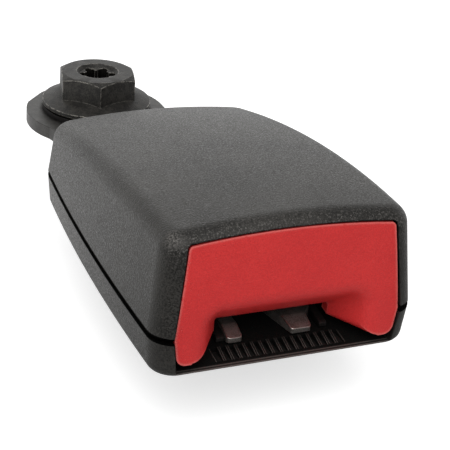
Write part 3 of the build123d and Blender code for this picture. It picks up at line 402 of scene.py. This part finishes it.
def crevice_group():
    """Mask of corners and clefts, where painted shade darkens the colour."""
    group, start, end = new_group("crevices", [("Reach mm", 2.0), ("Amount", 0.7)], ["Mask"])
    reach = times(group, start.outputs["Reach mm"], MM)
    open_sky = add(group, "ShaderNodeAmbientOcclusion", dict(samples=6), Distance=reach)
    closed = ramp(group, open_sky.outputs["AO"], *CLEFT_FADE)
    group.links.new(times(group, closed, start.outputs["Amount"]), end.inputs["Mask"])
    return group


GRAIN = grain_group()
CREVICES = crevice_group()
EDGE_WEAR_AND_HIGHLIGHT = edge_wear_and_highlight_group()
SPECKS = specks_group()


# --- Materials -----------------------------------------------------------------------------

def start_material(name, **shader):
    """New material and its Principled shader, with plain values on its sockets."""
    material = bpy.data.materials.new(name)
    material.use_nodes = True
    tree = material.node_tree
    surface = tree.nodes["Principled BSDF"]
    for label, value in shader.items():
        surface.inputs[label.replace("_", " ")].default_value = value
    return material, tree, surface


def relief(tree, surface, grain, depth_mm, edge_mm):
    """Feeds the shader's normal: softly rounded edges with the grain on top."""
    edges = add(tree, "ShaderNodeBevel", dict(samples=6, Radius=edge_mm * MM))
    bump = add(tree, "ShaderNodeBump", dict(Strength=1.0, Distance=depth_mm * MM),
               Height=grain.outputs["Height"], Normal=edges.outputs["Normal"])
    tree.links.new(bump.outputs["Normal"], surface.inputs["Normal"])


def skin(tree, grain, dark, light, grit=0.3):
    """Colour between dark and light: slow patches with the grain's own light and dark."""
    share = ramp(tree, grain.outputs["Grit"], 0.0, 1.0, -grit, grit)
    both = calc(tree, "ADD", grain.outputs["Tone"], share)
    return mix(tree, ramp(tree, both, 0.0, 1.0), dark, light)


def shade_clefts(tree, colour, shade_colour, reach_mm, amount):
    """The colour with painted shade in the surface's clefts."""
    cleft = use(tree, CREVICES, Reach_mm=reach_mm, Amount=amount)
    return mix(tree, cleft.outputs["Mask"], colour, shade_colour)


def gritty(tree, grain, low, high):
    """Value between low and high, by the grain's grit."""
    return ramp(tree, grain.outputs["Grit"], 0.0, 1.0, low, high)


def mouth_zone(tree, split, front):
    """Mask of the ramp and comb in the mouth, behind a front, from split coordinates."""
    across = ramp(tree, apart(tree, split.outputs["X"], MIDDLE_X), *MOUTH_FADE_X)
    behind = ramp(tree, split.outputs["Y"], front, front + MOUTH_SOFT)
    above = ramp(tree, split.outputs["Z"], *MOUTH_FADE_LOW)
    below = ramp(tree, split.outputs["Z"], *MOUTH_FADE_HIGH)
    return times(tree, across, behind, above, below)


def highlight_line(tree, split, place):
    """Mask of a thin painted highlight line across the lip of the mouth, at one Y."""
    off = apart(tree, split.outputs["Y"], place)
    return ramp(tree, off, *LINE_FADE, 0.0, LINE_SHARE)


def cover_dust_and_glints(tree, grain, place, split):
    """Mask of light specks: a few of dust overall, many on the front brow that are dust, scuffs
    and painted glints, and a worn patch with a painted highlight at one corner.
    """
    few = use(tree, SPECKS, Size_mm=0.45, Amount=0.05)
    many = use(tree, SPECKS, Size_mm=0.36, Amount=0.62)
    front = ramp(tree, split.outputs["Y"], *BROW_FADE_Y)
    high = ramp(tree, split.outputs["Z"], *BROW_FADE_Z)
    away = add(tree, "ShaderNodeVectorMath", dict(operation="DISTANCE"))
    tree.links.new(place, away.inputs[0])
    away.inputs[1].default_value = WORN_LIT_CORNER
    # The corner patch is wear with a painted highlight where the corner faces the light.
    corner_patch = times(tree, ramp(tree, grain.outputs["Grit"], *CORNER_PATCH_GRIT),
                  ramp(tree, away.outputs["Value"], *CORNER_PATCH_FADE))
    return most(tree, times(tree, few.outputs["Mask"], FEW_SPECKS_SHARE),
                times(tree, many.outputs["Mask"], front, high, BROW_SPECKS_SHARE), corner_patch)


def cover_wear_and_highlights(tree, split, mouth, lip):
    """Mask of edges: faint wear outside, strong painted highlights on the mouth's lip and the
    ribs' tips.
    """
    rubbed_and_highlit = use(tree, EDGE_WEAR_AND_HIGHLIGHT, Patch_mm=1.1)
    tree.links.new(ramp(tree, lip, 0.0, 1.0, *EDGE_AMOUNT), rubbed_and_highlit.inputs["Amount"])
    tree.links.new(ramp(tree, lip, 0.0, 1.0, *EDGE_RADIUS_MM), rubbed_and_highlit.inputs["Radius mm"])
    outside = calc(tree, "SUBTRACT", 1.0, mouth)
    share = ramp(tree, lip, 0.0, 1.0, *EDGE_SHARE)
    rims = times(tree, rubbed_and_highlit.outputs["Mask"], outside, share)
    # Painted highlights on the ribs' lit front tips, fading toward the rear.
    tips = ramp(tree, split.outputs["Y"], *RIB_TIP_FADE, *RIB_SHARE)
    ribs = times(tree, rubbed_and_highlit.outputs["Lengthwise"], tips, mouth)
    lines = [highlight_line(tree, split, place) for place in LIP_HIGHLIGHT_LINES]
    return most(tree, rims, ribs, times(tree, lip, most(tree, *lines)))


def cover_plastic():
    """Charcoal plastic with a fine mould grain; its front brow is worn and dusty, with painted
    glints.

    The seam's groove and the mouth get painted shade: they are near black and shine little, for
    which they count as metal.
    """
    material, tree, surface = start_material("cover_charcoal", Specular_IOR_Level=0.45,
                                             Specular_Tint=WARM_GLEAM)
    grain = use(tree, GRAIN, Size_mm=0.32, Patch_mm=16.0)
    place = object_place(tree)
    split = add(tree, "ShaderNodeSeparateXYZ", Vector=place)
    mouth = mouth_zone(tree, split, RAMP_FRONT)
    lip = mouth_zone(tree, split, LIP_FRONT)
    edges = cover_wear_and_highlights(tree, split, mouth, lip)
    seam_shade = ramp(tree, apart(tree, split.outputs["Z"], SEAM_Z), *SEAM_FADE)
    plain = skin(tree, grain, *CHARCOAL, grit=0.9)
    specked = mix(tree, cover_dust_and_glints(tree, grain, place, split), plain, CHARCOAL_DUST_AND_GLINT)
    # Painted shade: the ramp and comb in the mouth go near black.
    mouth_shaded = mix(tree, times(tree, mouth, MOUTH_SHADE), specked, PITCH_BLACK)
    # Faint wear on outer edges, and painted highlights on the mouth's lip and ribs.
    scuffed_and_highlit = mix(tree, edges, mouth_shaded, CHARCOAL_SCUFF_AND_HIGHLIGHT)
    # Painted shade: the seam's groove goes near black.
    colour = mix(tree, seam_shade, scuffed_and_highlit, SHADE_BLACK)
    # Painted shade in the cover's clefts.
    cleft_shaded = shade_clefts(tree, colour, SHADE_BLACK, reach_mm=2.5, amount=0.8)
    tree.links.new(cleft_shaded, surface.inputs["Base Color"])
    # Painted shade: over the seam's groove and the mouth the cover counts as metal, so that its
    # black shines little.
    unlit = most(tree, seam_shade, times(tree, mouth, MOUTH_UNLIT))
    unmarked = calc(tree, "SUBTRACT", 1.0, edges)
    tree.links.new(times(tree, unlit, unmarked), surface.inputs["Metallic"])
    hidden = most(tree, seam_shade, mouth)
    matt = ramp(tree, hidden, 0.0, 1.0, gritty(tree, grain, low=0.30, high=0.66), 0.95)
    tree.links.new(matt, surface.inputs["Roughness"])
    relief(tree, surface, grain, depth_mm=0.080, edge_mm=0.35)
    return material


def button_plastic():
    """Satin red plastic with a faint grain, specks of dust, worn edges and painted shade in its
    hollows.
    """
    material, tree, surface = start_material("button_red", Specular_IOR_Level=0.36)
    grain = use(tree, GRAIN, Size_mm=0.26, Patch_mm=14.0)
    specks = use(tree, SPECKS, Size_mm=0.5, Amount=0.10)
    rubbed_and_highlit = use(tree, EDGE_WEAR_AND_HIGHLIGHT, Radius_mm=0.9, Patch_mm=1.2, Amount=0.85, Openness=-1.0)
    plain = skin(tree, grain, *RED, grit=0.9)
    specked = mix(tree, times(tree, specks.outputs["Mask"], 0.5), plain, RED_DUST)
    colour = mix(tree, times(tree, rubbed_and_highlit.outputs["Mask"], 0.5), specked, RED_SCUFF)
    # Painted shade, in deep red, in the scoop and other hollows.
    deep = shade_clefts(tree, colour, RED_DEEP, reach_mm=5.0, amount=0.75)
    tree.links.new(deep, surface.inputs["Base Color"])
    tree.links.new(gritty(tree, grain, low=0.42, high=0.52), surface.inputs["Roughness"])
    relief(tree, surface, grain, depth_mm=0.080, edge_mm=0.25)
    return material


def inner_plastic():
    """Black acetal of the guide, ejector and bush, a little brown with dust, with painted shade
    in its clefts.
    """
    material, tree, surface = start_material("inner_black", Specular_IOR_Level=0.2)
    grain = use(tree, GRAIN, Size_mm=0.25, Patch_mm=5.0)
    rubbed_and_highlit = use(tree, EDGE_WEAR_AND_HIGHLIGHT, Radius_mm=0.25, Patch_mm=1.0, Amount=0.5)
    plain = skin(tree, grain, *INNER_BLACK)
    colour = mix(tree, times(tree, rubbed_and_highlit.outputs["Mask"], 0.3), plain, INNER_SCUFF)
    # Painted shade in the clefts.
    cleft_shaded = shade_clefts(tree, colour, PITCH_BLACK, reach_mm=2.0, amount=0.7)
    tree.links.new(cleft_shaded, surface.inputs["Base Color"])
    tree.links.new(gritty(tree, grain, low=0.42, high=0.58), surface.inputs["Roughness"])
    relief(tree, surface, grain, depth_mm=0.008, edge_mm=0.2)
    return material


def flange_shadow_disc(tree, radius_mm):
    """Mask of the painted shadow that the bolt's flange casts round its axis, out to a radius.
    """
    level = add(tree, "ShaderNodeVectorMath", dict(operation="MULTIPLY"))
    tree.links.new(object_place(tree), level.inputs[0])
    level.inputs[1].default_value = (1.0, 1.0, 0.0)
    away = add(tree, "ShaderNodeVectorMath", dict(operation="LENGTH"))
    tree.links.new(level.outputs["Vector"], away.inputs[0])
    return ramp(tree, away.outputs["Value"], radius_mm * MM, (radius_mm - SHADOW_SOFT_MM) * MM)


def steel(name, dark, light, worn, metal, rough, wear, edge_mm=0.25, patch_mm=3.0,
          reach_mm=2.5, shadow_mm=0.0, size_mm=0.22, depth_mm=0.012):
    """Steel with a cloudy skin of its own colour, painted shade in its clefts and bright edges.

    A shadow radius paints the flange's shadow in black round the anchor bolt, out to that
    radius.
    """
    material, tree, surface = start_material(name)
    grain = use(tree, GRAIN, Size_mm=size_mm, Patch_mm=patch_mm)
    rubbed_and_highlit = use(tree, EDGE_WEAR_AND_HIGHLIGHT, Radius_mm=edge_mm * 1.6, Patch_mm=patch_mm * 0.7,
                 Amount=wear).outputs["Mask"]
    specks = use(tree, SPECKS, Size_mm=0.4, Amount=0.12)
    plain = skin(tree, grain, dark, light, grit=0.6)
    pale = mix(tree, times(tree, specks.outputs["Mask"], SPECK_SHARE), plain, worn)
    # Painted shade in the clefts, where the steel also turns fully metal so that it shines
    # little.
    cleft_shade = use(tree, CREVICES, Reach_mm=reach_mm, Amount=0.85).outputs["Mask"]
    # Painted shadow of the flange round the bolt.
    if shadow_mm:
        cleft_shade = most(tree, cleft_shade, times(tree, flange_shadow_disc(tree, shadow_mm), SHADOW_SHARE))
    steel_shaded = mix(tree, cleft_shade, pale, tuple(SHADE_SHARE * c for c in dark))
    tree.links.new(mix(tree, rubbed_and_highlit, steel_shaded, worn), surface.inputs["Base Color"])
    filled = ramp(tree, cleft_shade, *SHADE_METAL_FADE, metal, 1.0)
    tree.links.new(ramp(tree, rubbed_and_highlit, 0.0, 1.0, filled, 1.0), surface.inputs["Metallic"])
    even = gritty(tree, grain, rough - ROUGH_SPREAD, rough + ROUGH_SPREAD)
    matt = ramp(tree, cleft_shade, *SHADE_ROUGH_FADE, even, SHADE_ROUGH)
    matt = ramp(tree, rubbed_and_highlit, 0.0, 1.0, matt, WORN_ROUGH)
    tree.links.new(matt, surface.inputs["Roughness"])
    relief(tree, surface, grain, depth_mm, edge_mm)
    return material


def white_ground():
    """Pale floor that reads as white, keeps the soft shadow and darkens in reflections."""
    material, tree, surface = start_material("white_ground", Roughness=0.9,
                                             Specular_IOR_Level=0.1, Emission_Color=WHITE)
    seen = add(tree, "ShaderNodeLightPath")
    tone = mix(tree, seen.outputs["Is Glossy Ray"], (FLOOR_TONE,) * 3, FLOOR_DARK)
    tree.links.new(tone, surface.inputs["Base Color"])
    split = add(tree, "ShaderNodeSeparateXYZ", Vector=object_place(tree))
    shine = ramp(tree, split.outputs["Y"], *FLOOR_FADE, DARK_SHINE, FLOOR_SHINE)
    glossy = times(tree, seen.outputs["Is Glossy Ray"], shine)
    direct = times(tree, seen.outputs["Is Camera Ray"], FLOOR_GLOW)
    tree.links.new(most(tree, direct, glossy), surface.inputs["Emission Strength"])
    return material


MATERIALS = {
    "cover_black": cover_plastic(),
    "button_red": button_plastic(),
    "inner_black": inner_plastic(),
}
for finish, look in STEELS.items():
    MATERIALS[finish] = steel(finish, **look)
BOLT_FINISH = steel("oiled_phosphate", **OILED_PHOSPHATE)


def dress_nodes():
    """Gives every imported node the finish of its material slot."""
    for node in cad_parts.values():
        for slot in node.material_slots:
            name = slot.material.name.split(".")[0]
            if name in MATERIALS:
                slot.material = MATERIALS[name]
            else:
                print("no finish for slot", name, "of", node.name)


def new_piece(name, mesh, material):
    """Object of a finished bmesh, in the scene, with its material."""
    data = bpy.data.meshes.new(name)
    mesh.to_mesh(data)
    mesh.free()
    data.materials.append(material)
    piece = bpy.data.objects.new(name, data)
    bpy.context.scene.collection.objects.link(piece)
    return piece


# --- Anchor bolt ---------------------------------------------------------------------------

def threaded_bolt():
    """The bolt's head as packed, on a shank that carries a rolled thread."""
    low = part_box("anchor_bolt")[0]
    mesh = bmesh.new()
    mesh.from_mesh(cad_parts["anchor_bolt"].data)
    bmesh.ops.remove_doubles(mesh, verts=mesh.verts, dist=WELD)
    cut = Vector((0, 0, SHANK_CUT_Z))
    parts = mesh.verts[:] + mesh.edges[:] + mesh.faces[:]
    bmesh.ops.bisect_plane(mesh, geom=parts, plane_co=cut, plane_no=(0, 0, 1),
                           clear_inner=True)
    rim = [e for e in mesh.edges if e.is_boundary]
    bmesh.ops.holes_fill(mesh, edges=rim, sides=0)
    turns = (cut.z - low.z - POINT_LENGTH) / THREAD_PITCH
    add_thread(mesh, low.z + POINT_LENGTH, turns)
    core = SHANK_R - THREAD_DEPTH
    top = cut.z + CORE_LAP
    add_turned(mesh, [(0, low.z), (core - POINT_NARROWING, low.z), (core, low.z + POINT_RISE),
                      (core, top), (0, top)])
    for face in mesh.faces:
        face.smooth = True
    for edge in mesh.edges:
        edge.smooth = len(edge.link_faces) == 2 and edge.calc_face_angle() < CREASE
    bolt = new_piece("threaded_anchor_bolt", mesh, BOLT_FINISH)
    packed_normals = bolt.data.attributes.get("custom_normal")
    if packed_normals is not None:
        bolt.data.attributes.remove(packed_normals)
    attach(bolt, "bolt")
    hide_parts("anchor_bolt")


def add_turned(mesh, outline):
    """Adds a closed solid of revolution about Z, from (radius, z) points."""
    start = len(mesh.verts)
    corners = [mesh.verts.new((r, 0, z)) for r, z in outline]
    edges = [mesh.edges.new(pair) for pair in zip(corners, corners[1:])]
    bmesh.ops.spin(mesh, geom=corners + edges, cent=(0, 0, 0), axis=(0, 0, 1),
                   angle=2 * pi, steps=THREAD_STEPS, use_merge=True, use_duplicate=False)
    mesh.verts.ensure_lookup_table()
    fresh = mesh.verts[start:]
    bmesh.ops.remove_doubles(mesh, verts=fresh, dist=WELD)
    mesh.verts.ensure_lookup_table()
    faces = {f for v in mesh.verts[start:] for f in v.link_faces}
    bmesh.ops.recalc_face_normals(mesh, faces=list(faces))


def add_thread(mesh, bottom, turns):
    """Adds a helical ridge of rounded vee section, closed at both ends."""
    old_faces = set(mesh.faces)
    half = THREAD_PITCH / 2
    root = SHANK_R - THREAD_DEPTH - THREAD_SINK
    flank = root + ROOT_RISE
    lower = [(root, -half * ROOT_HALF), (flank, -half * FLANK_HALF),
             (SHANK_R, -half * CREST_HALF)]
    upper = [(r, -z) for r, z in reversed(lower)]
    corners = [mesh.verts.new((r, 0, bottom + half + z)) for r, z in lower + upper]
    first = mesh.faces.new(corners)
    length = turns * THREAD_PITCH - THREAD_PITCH
    steps = round(turns * THREAD_STEPS)
    bmesh.ops.spin(mesh, geom=[first], cent=(0, 0, 0), axis=(0, 0, 1),
                   dvec=(0, 0, length / steps), angle=(turns - 1) * 2 * pi, steps=steps,
                   use_duplicate=False)
    faces = [f for f in mesh.faces if f not in old_faces]
    bmesh.ops.recalc_face_normals(mesh, faces=faces)


# --- Springs -------------------------------------------------------------------------------

def wound_spring(node, body, axis, turns, coil_mm, wire_mm):
    """Round wire coil in the place of the packed spring; the body is not used."""
    low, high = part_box(node)
    middle = (low + high) / 2
    wire = wire_mm * MM
    if axis == "Y":
        rise = high.y - low.y - 2 * wire
        foot = Matrix.Translation((middle.x, low.y + wire, middle.z))
        lay = foot @ Matrix.Rotation(-pi / 2, 4, "X")
    else:
        rise = high.z - low.z - 2 * wire
        lay = Matrix.Translation((middle.x, middle.y, low.z + wire))
    mesh = bmesh.new()
    ring = bmesh.ops.create_circle(mesh, cap_ends=True, segments=WIRE_SIDES,
                                   radius=wire)["verts"]
    bmesh.ops.rotate(mesh, verts=ring, matrix=Matrix.Rotation(pi / 2, 3, "X"))
    bmesh.ops.translate(mesh, verts=ring, vec=(coil_mm * MM, 0, 0))
    steps = turns * COIL_STEPS
    bmesh.ops.spin(mesh, geom=mesh.faces[:], cent=(0, 0, 0), axis=(0, 0, 1),
                   dvec=(0, 0, rise / steps), angle=turns * 2 * pi, steps=steps,
                   use_duplicate=False)
    bmesh.ops.recalc_face_normals(mesh, faces=mesh.faces[:])
    bmesh.ops.transform(mesh, matrix=lay, verts=mesh.verts[:])
    for face in mesh.faces:
        face.smooth = len(face.verts) == 4
    spring = new_piece("wound_" + node, mesh, MATERIALS["spring_steel"])
    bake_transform(spring)
    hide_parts(node)


# --- Studio --------------------------------------------------------------------------------

def soft_lamp(name, place, size, power):
    """Square soft light aimed at the camera's target."""
    data = bpy.data.lights.new(name, "AREA")
    data.shape = "SQUARE"
    data.size = size
    data.energy = power
    lamp = bpy.data.objects.new(name, data)
    bpy.context.scene.collection.objects.link(lamp)
    lamp.location = place
    lamp.rotation_euler = (CAMERA_TARGET - Vector(place)).to_track_quat("-Z", "Y").to_euler()


def studio_floor():
    """White floor just under the part."""
    mesh = bmesh.new()
    bmesh.ops.create_grid(mesh, x_segments=1, y_segments=1, size=FLOOR_SIZE)
    bmesh.ops.translate(mesh, verts=mesh.verts, vec=(0, 0, cad_box[0][2] - FLOOR_GAP))
    new_piece("studio_floor", mesh, white_ground())


def pale_room():
    """White surroundings that light the part evenly, with a dark ceiling in reflections."""
    world = bpy.data.worlds.new("pale_room")
    bpy.context.scene.world = world
    world.use_nodes = True
    tree = world.node_tree
    back = tree.nodes["Background"]
    back.inputs["Color"].default_value = WHITE
    seen = add(tree, "ShaderNodeLightPath")
    place = add(tree, "ShaderNodeTexCoord").outputs["Generated"]
    split = add(tree, "ShaderNodeSeparateXYZ", Vector=place)
    wall = ramp(tree, split.outputs["Y"], *WALL_FADE, NEAR_SHINE, FAR_SHINE)
    shine = ramp(tree, split.outputs["Z"], *CEILING_FADE, DARK_SHINE, wall)
    lit = ramp(tree, seen.outputs["Is Glossy Ray"], 0.0, 1.0, ROOM_LIGHT, shine)
    tree.links.new(most(tree, seen.outputs["Is Camera Ray"], lit), back.inputs["Strength"])


def camera():
    """Camera at the buckle's front left corner, a little above it."""
    azimuth, elevation = radians(CAMERA_AZIMUTH), radians(CAMERA_ELEVATION)
    roll = radians(CAMERA_ROLL)
    back = Vector((sin(azimuth) * cos(elevation), -cos(azimuth) * cos(elevation),
                   sin(elevation)))
    level = Vector((cos(azimuth), sin(azimuth), 0))
    upward = back.cross(level)
    right = level * cos(roll) + upward * sin(roll)
    up = back.cross(right)
    data = bpy.data.cameras.new("camera")
    data.sensor_width = CAMERA_SENSOR
    data.lens = CAMERA_LENS
    data.shift_x, data.shift_y = CAMERA_SHIFT
    data.clip_start = CAMERA_NEAR
    view = bpy.data.objects.new("camera", data)
    bpy.context.scene.collection.objects.link(view)
    turn = Matrix((right, up, back)).transposed().to_4x4()
    view.matrix_world = Matrix.Translation(CAMERA_TARGET + back * CAMERA_DISTANCE) @ turn
    bpy.context.scene.camera = view


dress_nodes()
threaded_bolt()
for spring_row in SPRINGS:
    wound_spring(*spring_row)
studio_floor()
pale_room()
for lamp_row in LAMPS:
    soft_lamp(*lamp_row)
camera()
bpy.context.scene.view_settings.view_transform = "Standard"
